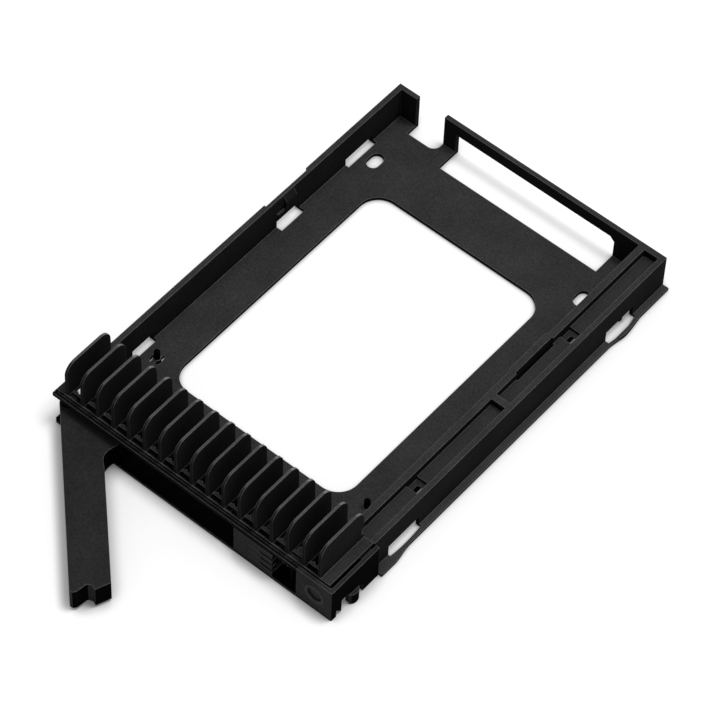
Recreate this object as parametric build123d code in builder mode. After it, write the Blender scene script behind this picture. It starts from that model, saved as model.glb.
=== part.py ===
from build123d import *
import os

# Frame: x to the right along the bezel, y to the rear, z up from the underside.
# The rear pair of drive holes stands on y = 0 and the drive bay is centred on x = 0.

# Standard 2.5 inch drive
drive_half_width = 34.925
drive_hole_x = 30.86
drive_hole_pitch = 76.6
drive_side_gap = 0.275

# Heights
floor_t = 1.0
cover_t = 0.6
wall_top = 10.65
deck_t = 1.05
deck_under = wall_top - deck_t
fin_top = 20.75

# Tray plan
left_wall_t = 1.4
inner_rail_x = drive_half_width + drive_side_gap
left_wall_x = -inner_rail_x - left_wall_t
groove_x = inner_rail_x + 1.75
groove_w = 3.95
outer_rail_x = groove_x + groove_w
rail_outer = outer_rail_x + 1.35
flange_x = rail_outer + 1.65
flange_t = 0.75
groove_floor = 8.5
tray_rear = 15.7
rear_wall_t = 1.2
tray_front = -drive_hole_pitch - 11.4

# Front plan
deck_front = tray_front - 14.6
face_y = deck_front - 1.4
deck_left = left_wall_x - 0.5
deck_right = rail_outer - 0.35

# Running gaps
moving_gap = 0.3
pin_gap = 0.05


def block(x0, x1, y0, y1, z0, z1, mode=Mode.ADD):
    with Locations(((x0 + x1) / 2, (y0 + y1) / 2, (z0 + z1) / 2)):
        Box(x1 - x0, y1 - y0, z1 - z0, mode=mode)


def upright(x, y, r, z0, z1, mode=Mode.ADD):
    with Locations((x, y, (z0 + z1) / 2)):
        Cylinder(r, z1 - z0, mode=mode)


# Tray features
window_left = -25.1
window_right = 25.4
window_rear = -6.6
window_front = -drive_hole_pitch - 2.4
window_r = 5.5
notch_left = left_wall_x + 6.04
notch_right = notch_left + 8.46
notch_front = tray_rear - 4.25
notch_r = 2.2
plug_left = notch_right + 3.7
plug_right = plug_left + 46.8
plug_front = tray_rear - 7.4
plug_top = 7.15
plug_chamfer = 1.2
rail_skin = 1.0
rail_roof = 1.1
rail_hollow_left = inner_rail_x + rail_skin
rail_hollow_right = rail_outer - rail_skin
rib_t = 1.0
rib_ys = [1.5, -40.6, -60.0]
bridge_rear = -39.75
bridge_t = 1.75
pocket_depth = 0.9
pocket_rears = [-13.0, -67.2]
pocket_l = 3.6
pocket_w = 2.95
pocket_hole_w = 1.7
pocket_hole_l = 2.1
leaf_rear = -19.3
leaf_l = 13.2
leaf_jog = 0.45
leaf_slot = 0.85
foot_slot_h = 3.0
rail_slot_h = 3.9
rear_hole_w = 3.3
rear_hole_l = 4.8
front_hole_w = 2.7
front_hole_l = 3.8
peg_r = 0.75
peg_foot_r = 0.95
peg_foot_top = floor_t + 0.2
peg_top = 4.0
peg_web_w = 1.1
nub_rear = -24.3
nub_l = 3.6
nub_proud = 0.9
housing_wall_t = 1.2
tongue_left = -17.0
tongue_top = cover_t + 1.0
screw_pitch = 22.0
screw_inset = 3.0
screw_xs = [tongue_left + screw_inset + i * screw_pitch for i in range(3)]
tongue_right = screw_xs[-1] + screw_inset
screw_y = tray_front - 3.0
tongue_front = screw_y - 2.0
screw_shank_r = 0.9
screw_head_r = 1.7
screw_head_t = 0.35
screw_gap = 0.05

# Flange leaf springs, from the rear end of each slot
rail_slot_x = rail_outer - 1.25
rear_slot_rear = 4.3
rear_slot_l = 10.2
rear_bow = 0.7
leaf_strip_t = 1.0
front_slot_rear = tray_front + 15.6
front_slot_l = 10.6
front_lug = 0.75


def tray_outline():
    # Floor with the notch and the connector cut-out at the rear
    with BuildLine() as edge_line:
        Polyline(
            (left_wall_x, tray_front),
            (left_wall_x, tray_rear),
            (notch_left, tray_rear),
            (notch_left, notch_front),
            (notch_right, notch_front),
            (notch_right, tray_rear),
            (plug_left, tray_rear),
            (plug_left, plug_front),
            (plug_right, plug_front),
            (plug_right, tray_rear),
            (rail_outer, tray_rear),
            (rail_outer, tray_front),
            close=True,
        )
    make_face(edge_line.edges())


def curved_strip(x_inner, y_rear, y_front, outer_points):
    # Area between a straight inner side and a curved outer side
    with BuildLine() as edge_line:
        Spline(*outer_points)
        Line(outer_points[-1], (x_inner, y_front))
        Line((x_inner, y_front), (x_inner, y_rear))
        Line((x_inner, y_rear), outer_points[0])
    make_face(edge_line.edges())


left_foot_rears = [4.5, -22.2, window_front + 6.2]
left_foot_lengths = [10.1, 8.1, 7.2]
left_foot_widths = [1.0, 1.6, 0.9]

with BuildPart() as tray:
    with BuildSketch(Plane.XY):
        tray_outline()
    extrude(amount=floor_t)
    # Rear wall: a short return on the left, then the bar over the connector opening
    block(left_wall_x, notch_left, tray_rear - rear_wall_t, tray_rear, 0, wall_top)
    block(notch_right, outer_rail_x, tray_rear - rear_wall_t, tray_rear, 0, wall_top)
    with BuildSketch(Plane.XZ.offset(-tray_rear)):
        with BuildLine():
            Polyline(
                (plug_left, 0),
                (plug_left, plug_top),
                (plug_right - plug_chamfer, plug_top),
                (plug_right, plug_top - plug_chamfer),
                (plug_right, 0),
                close=True,
            )
        make_face()
    extrude(amount=rear_wall_t, mode=Mode.SUBTRACT)
    # Left wall, thinner beside the snap nub
    block(left_wall_x, left_wall_x + left_wall_t, tray_front, tray_rear, 0, wall_top)
    block(left_wall_x, left_wall_x + 0.5, nub_rear - 8.9, nub_rear + 5.8, floor_t, wall_top, Mode.SUBTRACT)
    # Double rail, hollow from below
    block(inner_rail_x, rail_outer, tray_front, tray_rear, 0, wall_top)
    block(rail_hollow_left, rail_hollow_right, tray_front + rail_skin, tray_rear - rail_skin,
          0, groove_floor - rail_roof, Mode.SUBTRACT)
    for rib_y in rib_ys:
        block(rail_hollow_left, rail_hollow_right, rib_y - rib_t / 2, rib_y + rib_t / 2,
              0, groove_floor - rail_roof)
    block(groove_x, outer_rail_x, bridge_rear, tray_rear - 1.5, groove_floor, wall_top, Mode.SUBTRACT)
    block(groove_x, outer_rail_x, tray_front, bridge_rear - bridge_t, groove_floor, wall_top, Mode.SUBTRACT)
    for pocket_rear in pocket_rears:
        pocket_front = pocket_rear - pocket_l
        pocket_floor = groove_floor - pocket_depth
        block(groove_x, groove_x + pocket_w, pocket_front, pocket_rear, pocket_floor, groove_floor, Mode.SUBTRACT)
        with BuildSketch(Plane.XY.offset(groove_floor - rail_roof)):
            with Locations((groove_x + pocket_w - pocket_hole_w / 2, pocket_front + 1.3)):
                RectangleRounded(pocket_hole_w, pocket_hole_l, 0.4)
        extrude(amount=rail_roof, mode=Mode.SUBTRACT)
    # Stretch of the inner rail wall that steps toward the drive, with a deep slot beside it
    leaf_front = leaf_rear - leaf_l
    block(groove_x - leaf_jog, groove_x - leaf_jog + leaf_slot, leaf_front, leaf_rear,
          floor_t, wall_top, Mode.SUBTRACT)
    with BuildSketch(Plane.XY.offset(floor_t)):
        with BuildLine():
            Polyline(
                (inner_rail_x + 0.2, leaf_rear + leaf_jog),
                (inner_rail_x, leaf_rear + leaf_jog),
                (inner_rail_x - leaf_jog, leaf_rear),
                (inner_rail_x - leaf_jog, leaf_front),
                (inner_rail_x, leaf_front - leaf_jog),
                (inner_rail_x + 0.2, leaf_front - leaf_jog),
                close=True,
            )
        make_face()
    extrude(amount=wall_top - floor_t)
    # Flange with its two leaf springs
    block(rail_outer, flange_x, tray_front, tray_rear, 0, flange_t)
    rear_slot_front = rear_slot_rear - rear_slot_l
    front_slot_front = front_slot_rear - front_slot_l
    rear_slot_mid = (rear_slot_rear + rear_slot_front) / 2
    with BuildSketch(Plane.XY):
        curved_strip(rail_outer, rear_slot_rear + 0.8, rear_slot_front - 0.8, [
            (flange_x, rear_slot_rear + 0.8),
            (flange_x + rear_bow * 0.4, rear_slot_rear - 1.2),
            (flange_x + rear_bow * 0.9, rear_slot_rear - 4.0),
            (flange_x + rear_bow, rear_slot_mid - 0.7),
            (flange_x + rear_bow * 0.7, rear_slot_front + 2.8),
            (flange_x, rear_slot_front - 0.8),
        ])
        curved_strip(rail_outer, front_slot_rear, front_slot_front, [
            (flange_x, front_slot_rear),
            (flange_x - 0.05, front_slot_rear - 4.4),
            (flange_x + 0.15, front_slot_rear - 6.9),
            (flange_x + front_lug * 0.75, front_slot_front + 1.4),
            (flange_x + front_lug, front_slot_front),
        ])
        with Locations(((rail_outer + flange_x + front_lug) / 2, (front_slot_front + tray_front) / 2)):
            Rectangle(flange_x + front_lug - rail_outer, front_slot_front - tray_front)
    extrude(amount=flange_t)
    with BuildSketch(Plane.XY.offset(flange_t)):
        curved_strip(flange_x - 0.25, rear_slot_mid + 1.9, rear_slot_mid - 2.6, [
            (flange_x + rear_bow - 0.2, rear_slot_mid + 1.9),
            (flange_x + rear_bow - 0.02, rear_slot_mid),
            (flange_x + rear_bow - 0.22, rear_slot_mid - 2.6),
        ])
    extrude(amount=0.35)
    with BuildSketch(Plane.XY):
        curved_strip(rail_slot_x, rear_slot_rear, rear_slot_front, [
            (flange_x - leaf_strip_t, rear_slot_rear),
            (flange_x + rear_bow * 0.9 - leaf_strip_t, rear_slot_rear - 3.6),
            (flange_x + rear_bow - leaf_strip_t, rear_slot_mid - 2.0),
            (flange_x - leaf_strip_t + 0.3, rear_slot_front),
        ])
        curved_strip(rail_slot_x, front_slot_rear, front_slot_front, [
            (flange_x - leaf_strip_t - 0.1, front_slot_rear),
            (flange_x - leaf_strip_t + 0.15, front_slot_rear - 4.2),
            (flange_x - leaf_strip_t + 0.15, front_slot_rear - 7.8),
            (flange_x - leaf_strip_t - 0.1, front_slot_front),
        ])
    extrude(amount=flange_t + 0.4, mode=Mode.SUBTRACT)
    block(rail_slot_x, rail_outer, rear_slot_front, rear_slot_rear, 0, rail_slot_h, Mode.SUBTRACT)
    block(rail_slot_x, rail_outer, front_slot_front, front_slot_rear, 0, rail_slot_h, Mode.SUBTRACT)
    # Window, and the openings in the floor and in the foot of the left wall
    with BuildSketch(Plane.XY):
        with Locations(((window_left + window_right) / 2, (window_rear + window_front) / 2)):
            RectangleRounded(window_right - window_left, window_rear - window_front, window_r)
    extrude(amount=floor_t, mode=Mode.SUBTRACT)
    for foot_rear, foot_l, foot_w in zip(left_foot_rears, left_foot_lengths, left_foot_widths):
        block(left_wall_x, -inner_rail_x + foot_w, foot_rear - foot_l, foot_rear, 0, floor_t, Mode.SUBTRACT)
        block(left_wall_x, -inner_rail_x, foot_rear - foot_l, foot_rear, 0, foot_slot_h, Mode.SUBTRACT)
    # Snap nub on the left wall
    nub_x = left_wall_x + left_wall_t
    with BuildSketch(Plane.XZ.offset(-nub_rear)):
        with BuildLine():
            Polyline(
                (nub_x - 0.1, 10.3),
                (nub_x + nub_proud, 8.6),
                (nub_x + nub_proud, 6.0),
                (nub_x - 0.1, 5.0),
                close=True,
            )
        make_face()
    extrude(amount=nub_l)
    block(nub_x - 0.1, nub_x + 0.45, nub_rear - nub_l - 2.4, nub_rear - nub_l, 5.0, 5.8)
    # Drive holes: slotted at the rear. At the front two upright pegs, the left one in a round hole
    with BuildSketch(Plane.XY):
        with Locations((-drive_hole_x, 0), (drive_hole_x, 0)):
            SlotOverall(rear_hole_l, rear_hole_w, rotation=90)
    extrude(amount=floor_t, mode=Mode.SUBTRACT)
    with BuildSketch(Plane.XY):
        with Locations((-drive_hole_x, -drive_hole_pitch)):
            SlotOverall(front_hole_l, front_hole_w, rotation=90)
            Rectangle(peg_web_w, front_hole_l, mode=Mode.SUBTRACT)
    extrude(amount=floor_t, mode=Mode.SUBTRACT)
    for side in [-1, 1]:
        peg_x = side * drive_hole_x
        upright(peg_x, -drive_hole_pitch, peg_foot_r, 0, peg_foot_top)
        with BuildSketch(Plane((peg_x, -drive_hole_pitch, 0), x_dir=(1, 0, 0), z_dir=(0, -1, 0))):
            with BuildLine():
                Line((0, floor_t), (peg_r, floor_t))
                Line((peg_r, floor_t), (peg_r, peg_top - peg_r * 0.8))
                ThreePointArc((peg_r, peg_top - peg_r * 0.8), (peg_r * 0.75, peg_top - peg_r * 0.25),
                              (peg_r * 0.2, peg_top))
                Line((peg_r * 0.2, peg_top), (0, peg_top))
                Line((0, peg_top), (0, floor_t))
            make_face()
        revolve(axis=Axis((peg_x, -drive_hole_pitch, 0), (0, 0, 1)))
    # Tongue that the housing is screwed to
    block(-inner_rail_x, inner_rail_x, tray_front - housing_wall_t, tray_front, cover_t, tongue_top)
    block(-inner_rail_x, inner_rail_x, tray_front, tray_front + 1.0, 0, tongue_top)
    block(tongue_left, tongue_right, tongue_front, tray_front, cover_t, tongue_top)
    for screw_x in screw_xs:
        upright(screw_x, screw_y, screw_shank_r + screw_gap, cover_t, tongue_top, Mode.SUBTRACT)
    # Rounded inner corner of the rear notch
    notch_corner = tray.edges().filter_by(Axis.Z).sort_by_distance((notch_right, notch_front, floor_t / 2))[0]
    fillet(notch_corner, notch_r)
tray.part.label = "tray"

# Front housing with its fins
fin_count = 17
fin_base_t = 0.9
fin_top_t = 0.6
fin_first_x = deck_left + 2.82
fin_pitch = (deck_right - 3.08 - fin_first_x) / (fin_count - 1)
fin_front = deck_front + 0.2
fin_rear = tray_front - 0.2
fin_front_r = 3.2
fin_rear_r = 3.0
pivot_x = deck_left + 2.87
pivot_y = face_y + 2.2
pin_r = 0.75
boss_r = 1.8
boss_bottom = 7.4
pin_top = 9.2
block_left = rail_outer - 8.55
post_r = 2.0
post_x = block_left - post_r - 0.1
post_y = face_y + 3.8
vent_front = deck_front + 2.3
vent_rear = tray_front - 4.0
louvre_front = deck_front + 0.35
louvre_rear = louvre_front + 1.2
side_wall_x = deck_right - 1.6

with BuildPart() as fin_housing:
    block(deck_left, deck_right, deck_front, tray_front, deck_under, wall_top)
    # Rear wall, left cheek and right wall under the deck
    block(deck_left, side_wall_x + housing_wall_t, tray_front - housing_wall_t, tray_front,
          tongue_top, deck_under)
    block(deck_left, deck_left + housing_wall_t, tray_front - 3.0, tray_front - housing_wall_t,
          cover_t, deck_under)
    block(side_wall_x, side_wall_x + housing_wall_t, deck_front + 1.6, tray_front - housing_wall_t,
          tongue_top, deck_under)
    # Fins, a little thinner toward the top
    with BuildSketch(Plane.XZ.offset(-fin_rear)):
        for i in range(fin_count):
            fin_x = fin_first_x + i * fin_pitch
            with BuildLine():
                Polyline(
                    (fin_x - fin_base_t / 2, deck_under + 0.3),
                    (fin_x + fin_base_t / 2, deck_under + 0.3),
                    (fin_x + fin_top_t / 2, fin_top),
                    (fin_x - fin_top_t / 2, fin_top),
                    close=True,
                )
            make_face()
    extrude(amount=fin_rear - fin_front)
    # Rounded upper corners of all the fins
    with BuildSketch(Plane.YZ.offset(deck_left)):
        with BuildLine():
            RadiusArc((fin_front, fin_top - fin_front_r), (fin_front + fin_front_r, fin_top), fin_front_r)
            Polyline((fin_front + fin_front_r, fin_top), (fin_front, fin_top), (fin_front, fin_top - fin_front_r))
        make_face()
        with BuildLine():
            RadiusArc((fin_rear - fin_rear_r, fin_top), (fin_rear, fin_top - fin_rear_r), fin_rear_r)
            Polyline((fin_rear, fin_top - fin_rear_r), (fin_rear, fin_top), (fin_rear - fin_rear_r, fin_top))
        make_face()
    extrude(amount=deck_right - deck_left, mode=Mode.SUBTRACT)
    last_fin_x = fin_first_x + (fin_count - 1) * fin_pitch
    block(last_fin_x - fin_base_t, last_fin_x + fin_base_t, fin_rear - 0.7, fin_rear, 12.3, 14.0, Mode.SUBTRACT)
    # Between the fins: a narrow slot, a cross bar with a notched back, then the vent
    for i in range(fin_count - 1):
        cell_left = fin_first_x + i * fin_pitch + fin_base_t / 2 + 0.05
        cell_w = fin_pitch - fin_base_t - 0.1
        cell_right = cell_left + cell_w
        with BuildSketch(Plane.XY.offset(deck_under)):
            with Locations(((cell_left + cell_right) / 2, (louvre_front + louvre_rear) / 2)):
                Rectangle(cell_w, louvre_rear - louvre_front)
            with BuildLine():
                Polyline(
                    (cell_left, vent_front - 0.2),
                    (cell_left + 0.22 * cell_w, vent_front + 0.3),
                    (cell_left + 0.4 * cell_w, vent_front - 0.25),
                    (cell_left + 0.7 * cell_w, vent_front + 0.55),
                    (cell_left + 0.82 * cell_w, vent_front + 0.1),
                    (cell_right, vent_front + 0.6),
                    (cell_right, vent_rear),
                    (cell_left, vent_rear),
                    close=True,
                )
            make_face()
        extrude(amount=deck_t, mode=Mode.SUBTRACT)
    # Post for the lever's pin, screw posts and the post behind the slider
    upright(pivot_x, pivot_y, boss_r, boss_bottom, deck_under)
    upright(pivot_x, pivot_y, pin_r + pin_gap, boss_bottom, pin_top + 0.1, Mode.SUBTRACT)
    for screw_x in screw_xs:
        upright(screw_x, screw_y, 1.9, tongue_top, deck_under + 0.2)
        upright(screw_x, screw_y, screw_shank_r + screw_gap, tongue_top, 7.0, Mode.SUBTRACT)
    upright(post_x, post_y, post_r, cover_t, deck_under + 0.2)
    upright(post_x, post_y, screw_shank_r + screw_gap, cover_t, 6.5, Mode.SUBTRACT)
fin_housing.part.label = "fin_housing"

# Thin plate under the lever
cover_right = block_left - 0.1
screw_places = [(screw_x, screw_y) for screw_x in screw_xs] + [(post_x, post_y)]

with BuildPart() as base_cover:
    with BuildSketch(Plane.XY):
        with BuildLine():
            Polyline(
                (deck_left, face_y + 0.6),
                (deck_left + 0.6, face_y),
                (cover_right, face_y),
                (cover_right, tray_front),
                (deck_left, tray_front),
                close=True,
            )
        make_face()
        with Locations((pivot_x, pivot_y)):
            Circle(pin_r + pin_gap, mode=Mode.SUBTRACT)
        with Locations(*screw_places):
            Circle(screw_shank_r + screw_gap, mode=Mode.SUBTRACT)
    extrude(amount=cover_t)
    # Seats for the flat screw heads
    for seat_x, seat_y in screw_places:
        upright(seat_x, seat_y, screw_head_r + screw_gap, 0, screw_head_t, Mode.SUBTRACT)
base_cover.part.label = "base_cover"

# Bezel: top strip, end block and side skirt
strip_w = 0.95
strip_bottom = deck_under
skirt_x = rail_outer + 0.5
block_right = skirt_x + 0.95
block_wall = 1.7
skirt_rear = tray_front - 0.1
ring_x = block_left + 5.2
ring_z = 5.8
ring_r = 2.9
ring_gap = 0.05
slider_right = post_x - 4.7
slider_left = slider_right - 11.0
tab_front = face_y + 5.9
tab_rear = face_y + 9.3
skirt_lug_front = face_y + 10.6
skirt_lug_rear = face_y + 12.0

with BuildPart() as bezel:
    block(deck_left, block_right, face_y, face_y + strip_w, strip_bottom, wall_top)
    block(deck_left, deck_left + 1.0, face_y, deck_front, strip_bottom, wall_top)
    # Flange that joins the strip to the deck from below, left of the slider
    block(deck_left, slider_left - 3.0, face_y + strip_w - 0.2, face_y + 3.4, 8.75, strip_bottom)
    block(deck_left, slider_left - 3.0, face_y + strip_w - 0.2, face_y + strip_w, 8.75, strip_bottom + 0.1)
    upright(pivot_x, pivot_y, boss_r + 0.1, 8.0, strip_bottom, Mode.SUBTRACT)
    # End block
    block(block_left, block_right, face_y, face_y + block_wall, 0, strip_bottom)
    block(block_left, block_left + 0.9, face_y + block_wall, face_y + 7.5, 0, strip_bottom)
    with BuildSketch(Plane.XZ.offset(-face_y)):
        with Locations((ring_x, ring_z)):
            Circle(ring_r + ring_gap)
    extrude(amount=-block_wall, mode=Mode.SUBTRACT)
    # Skirt with its notched lower edge
    with BuildSketch(Plane.YZ.offset(skirt_x)):
        with BuildLine():
            Polyline(
                (face_y, 0),
                (face_y + 1.3, 0),
                (face_y + 1.3, 2.2),
                (face_y + 2.0, 2.0),
                (face_y + 3.4, 0.2),
                (face_y + 3.5, 4.3),
                (tab_front, 4.3),
                (tab_front, 0.6),
                (tab_rear, 0.6),
                (tab_rear, 3.0),
                (skirt_lug_front, 2.4),
                (skirt_lug_front, 0),
                (skirt_rear, 0),
                (skirt_rear, wall_top),
                (face_y, wall_top),
                close=True,
            )
        make_face()
    extrude(amount=block_right - skirt_x)
    block(skirt_x - 1.15, skirt_x, skirt_lug_rear - 0.4, tray_front - 1.0, 0, strip_bottom)
    # Tab that bows outward below the skirt
    with BuildSketch(Plane.XY.offset(0.1)):
        with BuildLine():
            Line((block_right, tab_front), (block_right, tab_rear))
            ThreePointArc((block_right, tab_rear), (block_right + 0.9, (tab_front + tab_rear) / 2),
                          (block_right, tab_front))
        make_face()
    extrude(amount=3.4)
    front_corner = bezel.edges().filter_by(Axis.Z).sort_by_distance((block_right, face_y, ring_z))[0]
    fillet(front_corner, 0.4)
bezel.part.label = "bezel"

# Lever, drawn in its closed direction about the pin and then swung open
lever_open = 45.0
lever_bottom = cover_t + moving_gap
lever_top = 7.1
front_w = face_y - pivot_y
back_w = front_w + 9.1
tip_u = slider_left - pivot_x - 0.16
tip_chamfer = 0.6
barrel_r = 1.12
coil_pocket_r = 1.85
coil_pocket_z = 4.6

with BuildPart() as eject_lever:
    with BuildSketch(Plane.XY.offset(lever_bottom)):
        with BuildLine():
            Polyline(
                (0, front_w),
                (tip_u - tip_chamfer, front_w),
                (tip_u, front_w + tip_chamfer),
                (tip_u - 0.1, front_w + 1.55),
                (tip_u - 1.7, front_w + 3.65),
                (tip_u - 1.85, front_w + 4.1),
                (tip_u - 1.4, front_w + 5.1),
                (tip_u - 0.35, front_w + 5.5),
                (tip_u - 1.9, back_w),
                (19.2, back_w),
            )
            Spline((19.2, back_w), (14.6, back_w + 0.2), (13.4, back_w + 1.2), (12.4, back_w + 2.8),
                   tangents=((-1, 0), (-0.45, 0.9)))
            Polyline(
                (12.4, back_w + 2.8),
                (11.6, back_w + 3.7),
                (1.0, back_w + 3.7),
                (-3.6, back_w + 2.1),
                (-4.2, back_w + 1.1),
                (-4.0, back_w - 0.3),
                (-1.6, back_w - 0.9),
                (front_w, back_w - 3.5),
                (front_w, 0),
            )
            RadiusArc((front_w, 0), (0, front_w), front_w)
        make_face()
    extrude(amount=lever_top - lever_bottom)
    # Bore for the pin and the pocket for the coil round the barrel
    upright(0, 0, coil_pocket_r, coil_pocket_z, lever_top, Mode.SUBTRACT)
    upright(0, 0, barrel_r, coil_pocket_z - 0.1, lever_top)
    upright(0, 0, pin_r + pin_gap, lever_bottom, lever_top, Mode.SUBTRACT)
eject_lever.part = Pos(pivot_x, pivot_y, 0) * Rot(0, 0, -lever_open) * eject_lever.part
eject_lever.part.label = "eject_lever"

with BuildPart() as lever_pin:
    upright(pivot_x, pivot_y, pin_r, 0, pin_top)
    chamfer(lever_pin.edges().filter_by(GeomType.CIRCLE), 0.15)
lever_pin.part.label = "lever_pin"

# Coil round the lever's barrel
coil_wire_r = 0.17
coil_r = (barrel_r + coil_pocket_r) / 2
coil_turns = 3
coil_pitch = 0.6

with BuildPart() as lever_spring:
    with BuildLine(Plane.XY.offset(coil_pocket_z + 0.3)) as coil_line:
        Helix(coil_pitch, coil_pitch * coil_turns, coil_r)
    with BuildSketch(Plane(origin=coil_line.line @ 0, z_dir=coil_line.line % 0)):
        RegularPolygon(coil_wire_r, 6)
    sweep(is_frenet=True)
lever_spring.part = Pos(pivot_x, pivot_y, 0) * lever_spring.part
lever_spring.part.label = "lever_spring"

# Release slider
slider_bottom = cover_t + moving_gap
slider_top = 8.9
slider_face_t = 1.3
slider_rear = face_y + 6.8
slider_skin = 1.1
catch_tip = slider_left - 0.3
catch_front = pivot_y + front_w + 1.9
catch_rear = pivot_y + front_w + 5.0
grip_left = slider_right - 6.7
grip_deep_left = slider_right - 3.6
grip_pitch = 2.1
grip_h = 0.9

with BuildPart() as release_slider:
    block(slider_left, slider_right, face_y, slider_rear, slider_bottom, slider_top)
    # Hollow for the spring, open to the right
    block(slider_left + slider_skin, slider_right, face_y + slider_face_t, slider_rear - slider_skin,
          slider_bottom + slider_skin, slider_top - slider_skin, Mode.SUBTRACT)
    # Relief that passes the lever's tip
    with BuildSketch(Plane.XY.offset(slider_bottom)):
        with BuildLine():
            Polyline(
                (slider_left, face_y + 0.05),
                (slider_left + 0.9, face_y + 0.95),
                (slider_left + 0.9, catch_front + 0.6),
                (slider_left, catch_front + 0.6),
                close=True,
            )
        make_face()
        with Locations((slider_left + 0.3, (catch_rear + slider_rear) / 2)):
            Rectangle(0.6, slider_rear - catch_rear)
    extrude(amount=lever_top + moving_gap - slider_bottom, mode=Mode.SUBTRACT)
    # Catch that enters the notch in the lever's tip
    with BuildSketch(Plane.XY.offset(slider_bottom + 0.4)):
        with BuildLine():
            Polyline(
                (slider_left + slider_skin, catch_front),
                (catch_tip + 0.5, catch_front),
                (catch_tip, catch_front + 0.7),
                (catch_tip, catch_rear - 0.3),
                (catch_tip + 0.3, catch_rear),
                (slider_left + slider_skin, catch_rear),
                close=True,
            )
        make_face()
    extrude(amount=lever_top - slider_bottom - 0.8)
    # Grip grooves, deeper toward the right end
    for i in range(3):
        grip_z = (slider_bottom + slider_top) / 2 + (i - 1) * grip_pitch
        block(grip_left, slider_right, face_y, face_y + 0.12, grip_z - grip_h / 2, grip_z + grip_h / 2,
              Mode.SUBTRACT)
        block(grip_deep_left, slider_right, face_y, face_y + slider_face_t,
              grip_z - grip_h / 2, grip_z + grip_h / 2, Mode.SUBTRACT)
release_slider.part.label = "release_slider"

# Compression spring between the slider and its post
spring_r = 1.35
spring_wire_r = 0.2
spring_left = slider_left + slider_skin + spring_wire_r + 0.05
spring_right = post_x - post_r - spring_wire_r
spring_turns = 5

with BuildPart() as slider_spring:
    with BuildLine() as spring_line:
        Helix((spring_right - spring_left) / spring_turns, spring_right - spring_left, spring_r)
    with BuildSketch(Plane(origin=spring_line.line @ 0, z_dir=spring_line.line % 0)):
        RegularPolygon(spring_wire_r, 6)
    sweep(is_frenet=True)
spring_place = Pos(spring_left, post_y, (slider_bottom + slider_top) / 2) * Rot(0, 90, 0)
slider_spring.part = spring_place * slider_spring.part
slider_spring.part.label = "slider_spring"

# Round indicator
lens_r = 1.85
guide_r = 1.2

with BuildPart() as indicator_ring:
    with BuildSketch(Plane.XZ.offset(-face_y + 0.15)):
        with Locations((ring_x, ring_z)):
            Circle(ring_r)
            Circle(lens_r + ring_gap, mode=Mode.SUBTRACT)
    extrude(amount=-2.0)
    chamfer(indicator_ring.faces().sort_by(Axis.Y)[0].edges(), 0.2)
indicator_ring.part.label = "indicator_ring"

with BuildPart() as light_guide:
    with BuildSketch(Plane.XZ.offset(-face_y - 0.35)):
        with Locations((ring_x, ring_z)):
            Circle(lens_r)
    extrude(amount=-2.2)
    with BuildSketch(Plane.XZ.offset(-face_y - 2.5)):
        with Locations((ring_x, ring_z)):
            Circle(guide_r)
    extrude(amount=-(tray_front - housing_wall_t - face_y - 2.5))
light_guide.part.label = "light_guide"


def flat_screw(x, y, length):
    upright(x, y, screw_head_r, 0, screw_head_t)
    upright(x, y, screw_shank_r, 0, length)


with BuildPart() as housing_screws:
    for screw_x in screw_xs:
        flat_screw(screw_x, screw_y, 6.6)
housing_screws.part.label = "housing_screws"

with BuildPart() as cover_screw:
    flat_screw(post_x, post_y, 5.6)
cover_screw.part.label = "cover_screw"

os.makedirs("parts", exist_ok=True)
export_step(tray.part, "parts/tray.step")
export_step(fin_housing.part, "parts/fin_housing.step")
export_step(base_cover.part, "parts/base_cover.step")
export_step(bezel.part, "parts/bezel.step")
export_step(eject_lever.part, "parts/eject_lever.step")
export_step(lever_pin.part, "parts/lever_pin.step")
export_step(lever_spring.part, "parts/lever_spring.step")
export_step(release_slider.part, "parts/release_slider.step")
export_step(slider_spring.part, "parts/slider_spring.step")
export_step(indicator_ring.part, "parts/indicator_ring.step")
export_step(light_guide.part, "parts/light_guide.step")
export_step(housing_screws.part, "parts/housing_screws.step")
export_step(cover_screw.part, "parts/cover_screw.step")
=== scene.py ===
from math import cos, pi, radians, sin

import bpy
import bmesh
from mathutils import Euler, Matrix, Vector


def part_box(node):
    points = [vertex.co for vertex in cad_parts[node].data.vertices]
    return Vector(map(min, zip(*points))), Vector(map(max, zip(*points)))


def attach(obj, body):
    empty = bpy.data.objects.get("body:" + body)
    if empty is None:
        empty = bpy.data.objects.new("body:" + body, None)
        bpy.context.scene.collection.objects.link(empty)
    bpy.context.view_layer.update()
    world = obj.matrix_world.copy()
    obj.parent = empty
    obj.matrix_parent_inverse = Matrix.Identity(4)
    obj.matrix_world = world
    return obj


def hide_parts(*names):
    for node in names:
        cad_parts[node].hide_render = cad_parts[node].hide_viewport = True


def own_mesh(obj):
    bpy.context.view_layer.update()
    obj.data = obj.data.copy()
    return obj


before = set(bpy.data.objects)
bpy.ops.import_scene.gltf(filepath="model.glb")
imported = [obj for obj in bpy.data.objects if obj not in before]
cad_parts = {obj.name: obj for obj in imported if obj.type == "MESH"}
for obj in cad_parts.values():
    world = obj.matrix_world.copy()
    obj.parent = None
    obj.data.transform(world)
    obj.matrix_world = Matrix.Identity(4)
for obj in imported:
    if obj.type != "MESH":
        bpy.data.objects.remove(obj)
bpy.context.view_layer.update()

mm = 0.001

# Directions, as unit vectors
rightward = (1, 0, 0)
rearward = (0, 1, 0)
frontward = (0, -1, 0)
upward = (0, 0, 1)

# The lever stands open, so the face that it shows when it is folded in points half way to the left
lever_open = radians(45)
lever_face = (-cos(lever_open), -sin(lever_open), 0)

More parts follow.
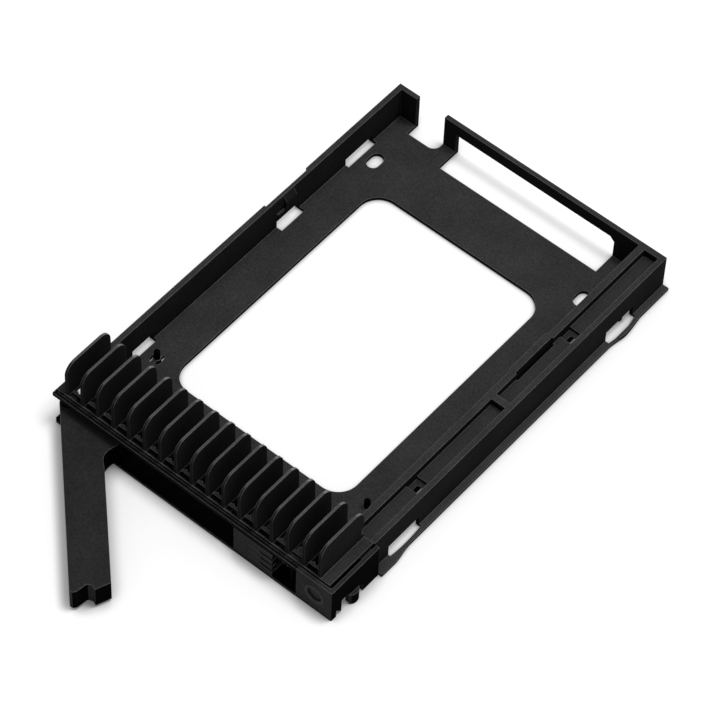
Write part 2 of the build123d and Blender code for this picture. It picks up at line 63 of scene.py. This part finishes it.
# Places on the part that have a shade of their own
drive_holes_across = 61.72 * mm
drive_holes_along = 76.6 * mm
peg_reach = 1.0 * mm
rail_lip_x = 42.3 * mm
strip_end_x = 33.7 * mm
fin_crown_z = 13 * mm
under_deck_z = 9.55 * mm
mask_softness = 0.05 * mm

# Surface
edge_r = 0.28 * mm
nook_reach = 3.5 * mm
grain_height = 0.03 * mm
scratch_height = 0.01 * mm
fine_scale = 2600.0
cloud_scale = 110.0
scratch_scale = 1500.0
scratch_stretch = 12.0


def grey(value):
    # A trace bluer than neutral
    return (value, value, value * 1.03, 1)


class Look:
    # A material, with the few kinds of node that its look is built from

    def __init__(self, name):
        self.material = bpy.data.materials.new(name)
        self.material.use_nodes = True
        self.nodes = self.material.node_tree.nodes
        self.links = self.material.node_tree.links
        self.shader = self.nodes["Principled BSDF"]

    @property
    def coords(self):
        if "coords" not in self.nodes:
            self.node("TexCoord").name = "coords"
        return self.nodes["coords"].outputs

    def node(self, kind, operation=None):
        made = self.nodes.new("ShaderNode" + kind)
        if operation:
            made.operation = operation
        return made

    def feed(self, socket, value):
        # The socket takes another node's output, or a plain value
        if isinstance(value, bpy.types.NodeSocket):
            self.links.new(value, socket)
        else:
            socket.default_value = value

    def math(self, operation, *values):
        made = self.node("Math", operation)
        for socket, value in zip(made.inputs, values):
            self.feed(socket, value)
        return made.outputs["Value"]

    def vector(self, operation, *values):
        made = self.node("VectorMath", operation)
        for socket, value in zip(made.inputs, values):
            self.feed(socket, value)
        return made.outputs["Value" if operation in ("DOT_PRODUCT", "DISTANCE") else "Vector"]

    def split(self, vector):
        made = self.node("SeparateXYZ")
        self.feed(made.inputs["Vector"], vector)
        return made.outputs

    def noise(self, scale, detail, rough=0.55, place=None):
        texture = self.node("TexNoise")
        self.feed(texture.inputs["Scale"], scale)
        self.feed(texture.inputs["Detail"], detail)
        self.feed(texture.inputs["Roughness"], rough)
        self.feed(texture.inputs["Vector"], self.coords["Object"] if place is None else place)
        return texture.outputs["Fac"]

    def spread(self, source, low, high, start=0.3, end=0.7):
        # Turns the source's range from start to end into the range from low to high
        span = self.node("MapRange")
        self.feed(span.inputs["Value"], source)
        self.feed(span.inputs["From Min"], start)
        self.feed(span.inputs["From Max"], end)
        self.feed(span.inputs["To Min"], low)
        self.feed(span.inputs["To Max"], high)
        return span.outputs["Result"]

    def blend(self, factor, first, second):
        mix = self.node("Mix")
        mix.data_type = "RGBA"
        self.feed(mix.inputs["A"], first)
        self.feed(mix.inputs["B"], second)
        self.feed(mix.inputs["Factor"], factor)
        return mix.outputs["Result"]

    def facing(self, way):
        # 1 where a face points that way, 0 where it stands square to it and -1 where it points away
        return self.vector("DOT_PRODUCT", self.coords["Normal"], way)

    def lying(self, start, end):
        # 1 on faces that lie flat, whichever side is up
        return self.spread(self.math("ABSOLUTE", self.facing(upward)), 0, 1, start, end)

    def below(self, axis, limit):
        # 1 where the object's coordinate is under the limit
        place = self.split(self.coords["Object"])[axis]
        return self.spread(place, 1, 0, limit - mask_softness, limit + mask_softness)

    def near(self, spot, radius):
        # 1 round the spot and its mirror image on the other side of the part, at any height
        folded = self.vector("ABSOLUTE", self.coords["Object"])
        level = self.vector("MULTIPLY", folded, (1, 1, 0))
        away = self.vector("DISTANCE", level, spot)
        return self.spread(away, 1, 0, radius - mask_softness, radius + mask_softness)

    def rounded(self, radius):
        # The normal as it would be with rounded edges
        soft = self.node("Bevel")
        soft.samples = 8
        self.feed(soft.inputs["Radius"], radius)
        return soft.outputs["Normal"]

    def openness(self, reach, samples):
        # Small in corners and grooves, and 1 in the open
        nook = self.node("AmbientOcclusion")
        nook.samples = samples
        self.feed(nook.inputs["Distance"], reach)
        return nook.outputs["AO"]

    def bump(self, height, strength, distance, normal=None):
        made = self.node("Bump")
        self.feed(made.inputs["Strength"], strength)
        self.feed(made.inputs["Distance"], distance)
        self.feed(made.inputs["Height"], height)
        if normal is not None:
            self.feed(made.inputs["Normal"], normal)
        return made.outputs["Normal"]


def painted_fin_top_highlights(look, shade):
    # Painted highlight on the fins' top faces, brightest on their rear corners
    top = look.blend(look.lying(0.9, 0.99), shade, grey(0.066))
    to_rear = look.spread(look.facing(rearward), 0, 1, 0.15, 0.35)
    corner = look.math("MULTIPLY", to_rear, look.lying(0.5, 0.65))
    top = look.blend(corner, top, grey(0.16))
    return look.blend(look.below("Z", fin_crown_z), top, shade)


def painted_rail_lip_light(look, shade):
    # Painted light: the upper side of the lip that runs along the chassis rail is painted paler
    lightened = look.blend(look.lying(0.9, 0.99), shade, grey(0.048))
    return look.blend(look.below("X", rail_lip_x), lightened, shade)


def dark_pegs(look, shade):
    # The pegs stand at the two front holes of the drive
    peg = (drive_holes_across / 2, drive_holes_along, 0)
    return look.blend(look.near(peg, peg_reach), shade, grey(0.0015))


def dark_strip(look, shade):
    # The bezel's strip is darker than its end block
    return look.blend(look.below("X", strip_end_x), shade, grey(0.006))


def painted_shade_under_deck(look, shade):
    # Painted shade inside under the deck, apart from the rear wall's back and the left end
    off_rear = look.spread(look.facing(rearward), 1, 0, 0.3, 0.7)
    off_left = look.spread(look.facing(rightward), 0, 1, -0.7, -0.3)
    inside = look.math("MULTIPLY", off_rear, off_left)
    deep = look.math("MULTIPLY", look.below("Z", under_deck_z), inside)
    return look.blend(deep, shade, grey(0.0012))


def painted_edge_highlights(look, shade, rounded):
    # Near a sharp edge the rounded normal turns away from the flat one. A painted highlight lightens
    # the edges, the upper edges the most
    flat = look.node("NewGeometry").outputs["Normal"]
    edge_share = look.spread(look.vector("DOT_PRODUCT", rounded, flat), 0.6, 0, 0.84, 0.995)
    upper = look.spread(look.split(rounded)["Z"], 0.25, 1, 0.1, 0.5)
    return look.blend(look.math("MULTIPLY", edge_share, upper), shade, grey(0.19))


def moulded(name, flat, upright, front, roughness=0.55, specular=0.001, grain=0.5,
            front_way=frontward, front_turn=(0.5, 0.9), marks=(), cover=None):
    # Black moulded plastic. Faces that lie flat have a spark texture. Light and shade are painted by
    # which way a face points:
    # upright faces get a darker painted shade, flat faces a lighter one, and front faces a painted
    # shade of their own
    look = Look(name)
    fine = look.noise(fine_scale, 3.0)
    cloud = look.noise(cloud_scale, 4.0)
    to_front = look.spread(look.facing(front_way), 0, 1, *front_turn)
    # Painted light and shade by face direction: upright, front and flat faces each get their own
    # painted shade
    shade = look.blend(to_front, grey(upright), grey(front))
    shade = look.blend(look.lying(0.8, 0.98), shade, grey(flat))
    for mark in marks:
        shade = mark(look, shade)
    rounded = look.rounded(edge_r)
    shade = painted_edge_highlights(look, shade, rounded)
    if cover:
        shade = cover(look, shade)
    # Grain, cloudiness and painted shade in corners and grooves
    painted_nook_shade = look.spread(look.openness(nook_reach, 6), 0.65, 1)
    speck = look.spread(fine, 0.72, 1.28)
    haze = look.spread(cloud, 0.86, 1.14)
    toned = look.node("VectorMath", "SCALE")
    look.feed(toned.inputs["Vector"], shade)
    look.feed(toned.inputs["Scale"], look.math("MULTIPLY", look.math("MULTIPLY", speck, haze), painted_nook_shade))
    look.feed(look.shader.inputs["Base Color"], toned.outputs["Vector"])
    look.feed(look.shader.inputs["Roughness"], look.spread(cloud, roughness - 0.06, roughness + 0.08))
    look.feed(look.shader.inputs["Specular IOR Level"], specular)
    look.feed(look.shader.inputs["Normal"], look.bump(fine, grain, grain_height, rounded))
    return look.material


def steel(name, colour, roughness):
    # Drawn or ground steel with fine scratches along one way
    look = Look(name)
    stretch = look.node("Mapping")
    look.feed(stretch.inputs["Scale"], (1.0, 1.0, scratch_stretch))
    look.feed(stretch.inputs["Vector"], look.coords["Object"])
    lines = look.noise(scratch_scale, 2.0, 0.5, stretch.outputs["Vector"])
    dark = (*(value * 0.85 for value in colour), 1)
    light = (*(value * 1.1 for value in colour), 1)
    look.feed(look.shader.inputs["Base Color"], look.blend(lines, dark, light))
    look.feed(look.shader.inputs["Metallic"], 1.0)
    look.feed(look.shader.inputs["Roughness"], roughness)
    look.feed(look.shader.inputs["Normal"], look.bump(lines, 0.3, scratch_height))
    return look.material


def dress(node, material):
    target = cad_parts[node]
    target.data.materials.clear()
    target.data.materials.append(material)


# Moulded pieces
# Each plastic's flat, upright and front shades are painted light and shade by face direction
dress("tray", moulded("tray_plastic", flat=0.034, upright=0.012, front=0.009,
                      marks=(painted_rail_lip_light, dark_pegs)))
dress("fin_housing", moulded("housing_plastic", flat=0.032, upright=0.0135, front=0.012,
                             marks=(painted_fin_top_highlights,), cover=painted_shade_under_deck))
# The cover's near-black colour is painted shade for the recess it lies in
dress("base_cover", moulded("cover_plastic", flat=0.003, upright=0.003, front=0.003))
dress("bezel", moulded("bezel_plastic", flat=0.024, upright=0.002, front=0.030, marks=(dark_strip,)))
dress("eject_lever", moulded("lever_plastic", flat=0.022, upright=0.002, front=0.030,
                             front_way=lever_face, front_turn=(0.15, 0.45)))
dress("release_slider", moulded("slider_plastic", flat=0.022, upright=0.002, front=0.030))
dress("indicator_ring", moulded("ring_plastic", flat=0.02, upright=0.02, front=0.036,
                                roughness=0.35, specular=0.01, grain=0.1))
dress("light_guide", moulded("lens_plastic", flat=0.01, upright=0.01, front=0.016,
                             roughness=0.25, specular=0.02, grain=0.05))

# Steel pieces
spring_look = steel("spring_wire", (0.05, 0.05, 0.052), 0.5)
screw_look = steel("screw_steel", (0.16, 0.16, 0.165), 0.4)
dress("lever_spring", spring_look)
dress("lever_pin", steel("pin_steel", (0.55, 0.55, 0.56), 0.25))
dress("housing_screws", screw_look)
dress("cover_screw", screw_look)


def wound_wire(name, low, high, wire_r, turns, end_turns, steps=24):
    # A compression spring along X that fills the box from low to high, with closed turns at its ends
    coil_r = (high.z - low.z) / 2 - wire_r
    run = bpy.data.curves.new("coil_line", "CURVE")
    run.dimensions = "3D"
    run.bevel_depth = wire_r
    run.bevel_resolution = 4
    run.use_fill_caps = True
    wire = run.splines.new("POLY")
    count = (turns + 2 * end_turns) * steps
    wire.points.add(count)
    # The open turns share what the closed ones leave
    pitch = (high.x - low.x - (4 * end_turns + 2) * wire_r) / turns
    place_x = low.x + wire_r
    for step in range(count + 1):
        angle = 2 * pi * step / steps
        wire.points[step].co = (place_x, (low.y + high.y) / 2 + coil_r * cos(angle),
                                (low.z + high.z) / 2 + coil_r * sin(angle), 1)
        at_end = step < end_turns * steps or step >= (turns + end_turns) * steps
        place_x += (2 * wire_r if at_end else pitch) / steps
    wound = bpy.data.objects.new("coil_line", run)
    bpy.context.scene.collection.objects.link(wound)
    solid = wound.evaluated_get(bpy.context.evaluated_depsgraph_get())
    made = bpy.data.objects.new(name, bpy.data.meshes.new_from_object(solid))
    bpy.context.scene.collection.objects.link(made)
    bpy.data.objects.remove(wound)
    made.data.shade_smooth()
    return made


# The slider's spring, wound from round wire
low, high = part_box("slider_spring")
coil = wound_wire("slider_coil", low, high, wire_r=0.2 * mm, turns=5, end_turns=1)
coil.data.materials.clear()
coil.data.materials.append(spring_look)
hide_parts("slider_spring")
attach(coil, "carrier")
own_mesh(coil)

# Floor
floor_size = 4.0
floor_gap = 0.05 * mm
floor_colour = 0.8
floor_lift = 0.27
shadow_reach = 5 * mm


def pale_floor():
    look = Look("floor_white")
    look.feed(look.shader.inputs["Roughness"], 0.9)
    look.feed(look.shader.inputs["Specular IOR Level"], 0.1)
    # A painted shadow darkens the floor close round the object
    painted_shadow_share = look.spread(look.openness(shadow_reach, 16), 0.35, 1.0, 0.35, 0.85)
    white = (floor_colour, floor_colour, floor_colour, 1)
    look.feed(look.shader.inputs["Base Color"], look.blend(painted_shadow_share, (0, 0, 0, 1), white))
    # Seen by the camera or in a reflection the floor is lifted to white, and keeps the object's shadow
    # and the painted shadow
    seen = look.node("LightPath").outputs
    either = look.math("MAXIMUM", seen["Is Camera Ray"], seen["Is Glossy Ray"])
    lifted = look.math("MULTIPLY", either, floor_lift)
    lift = look.node("Emission")
    look.feed(lift.inputs["Color"], (1, 1, 1, 1))
    look.feed(lift.inputs["Strength"], look.math("MULTIPLY", lifted, painted_shadow_share))
    joined = look.node("AddShader")
    look.feed(joined.inputs[0], look.shader.outputs["BSDF"])
    look.feed(joined.inputs[1], lift.outputs["Emission"])
    look.feed(look.nodes["Material Output"].inputs["Surface"], joined.outputs["Shader"])
    return look.material


floor_mesh = bpy.data.meshes.new("floor")
floor_form = bmesh.new()
bmesh.ops.create_grid(floor_form, x_segments=2, y_segments=2, size=floor_size)
floor_form.to_mesh(floor_mesh)
floor_form.free()
floor = bpy.data.objects.new("floor", floor_mesh)
bpy.context.scene.collection.objects.link(floor)
floor.location.z = -floor_gap
floor_mesh.materials.append(pale_floor())

# Light
world = bpy.data.worlds.new("studio")
bpy.context.scene.world = world
world.use_nodes = True
background = world.node_tree.nodes["Background"]
background.inputs["Color"].default_value = (1, 1, 1, 1)
background.inputs["Strength"].default_value = 0.5


def softbox(name, turn, height, distance, size, power):
    # A round lamp that looks at the origin, turned about Z from the front
    lamp = bpy.data.lights.new(name, "AREA")
    lamp.shape = "DISK"
    lamp.size = size
    lamp.energy = power
    holder = bpy.data.objects.new(name, lamp)
    bpy.context.scene.collection.objects.link(holder)
    place = Euler((0, 0, radians(turn))).to_matrix() @ Vector((0, -distance, height))
    holder.location = place
    holder.rotation_euler = (-place).to_track_quat("-Z", "Y").to_euler()


softbox("key", turn=120, height=2.0, distance=0.50, size=0.7, power=24)

# Camera at the photograph's place
camera_data = bpy.data.cameras.new("camera")
camera_data.sensor_width = 36
camera_data.lens = 192.834
camera = bpy.data.objects.new("camera", camera_data)
bpy.context.scene.collection.objects.link(camera)
camera.location = (321.504 * mm, -455.618 * mm, 700.488 * mm)
camera.rotation_euler = Euler((radians(36.4736), radians(-1.6004), radians(40.0135)))
bpy.context.scene.camera = camera
bpy.context.scene.view_settings.view_transform = "Standard"
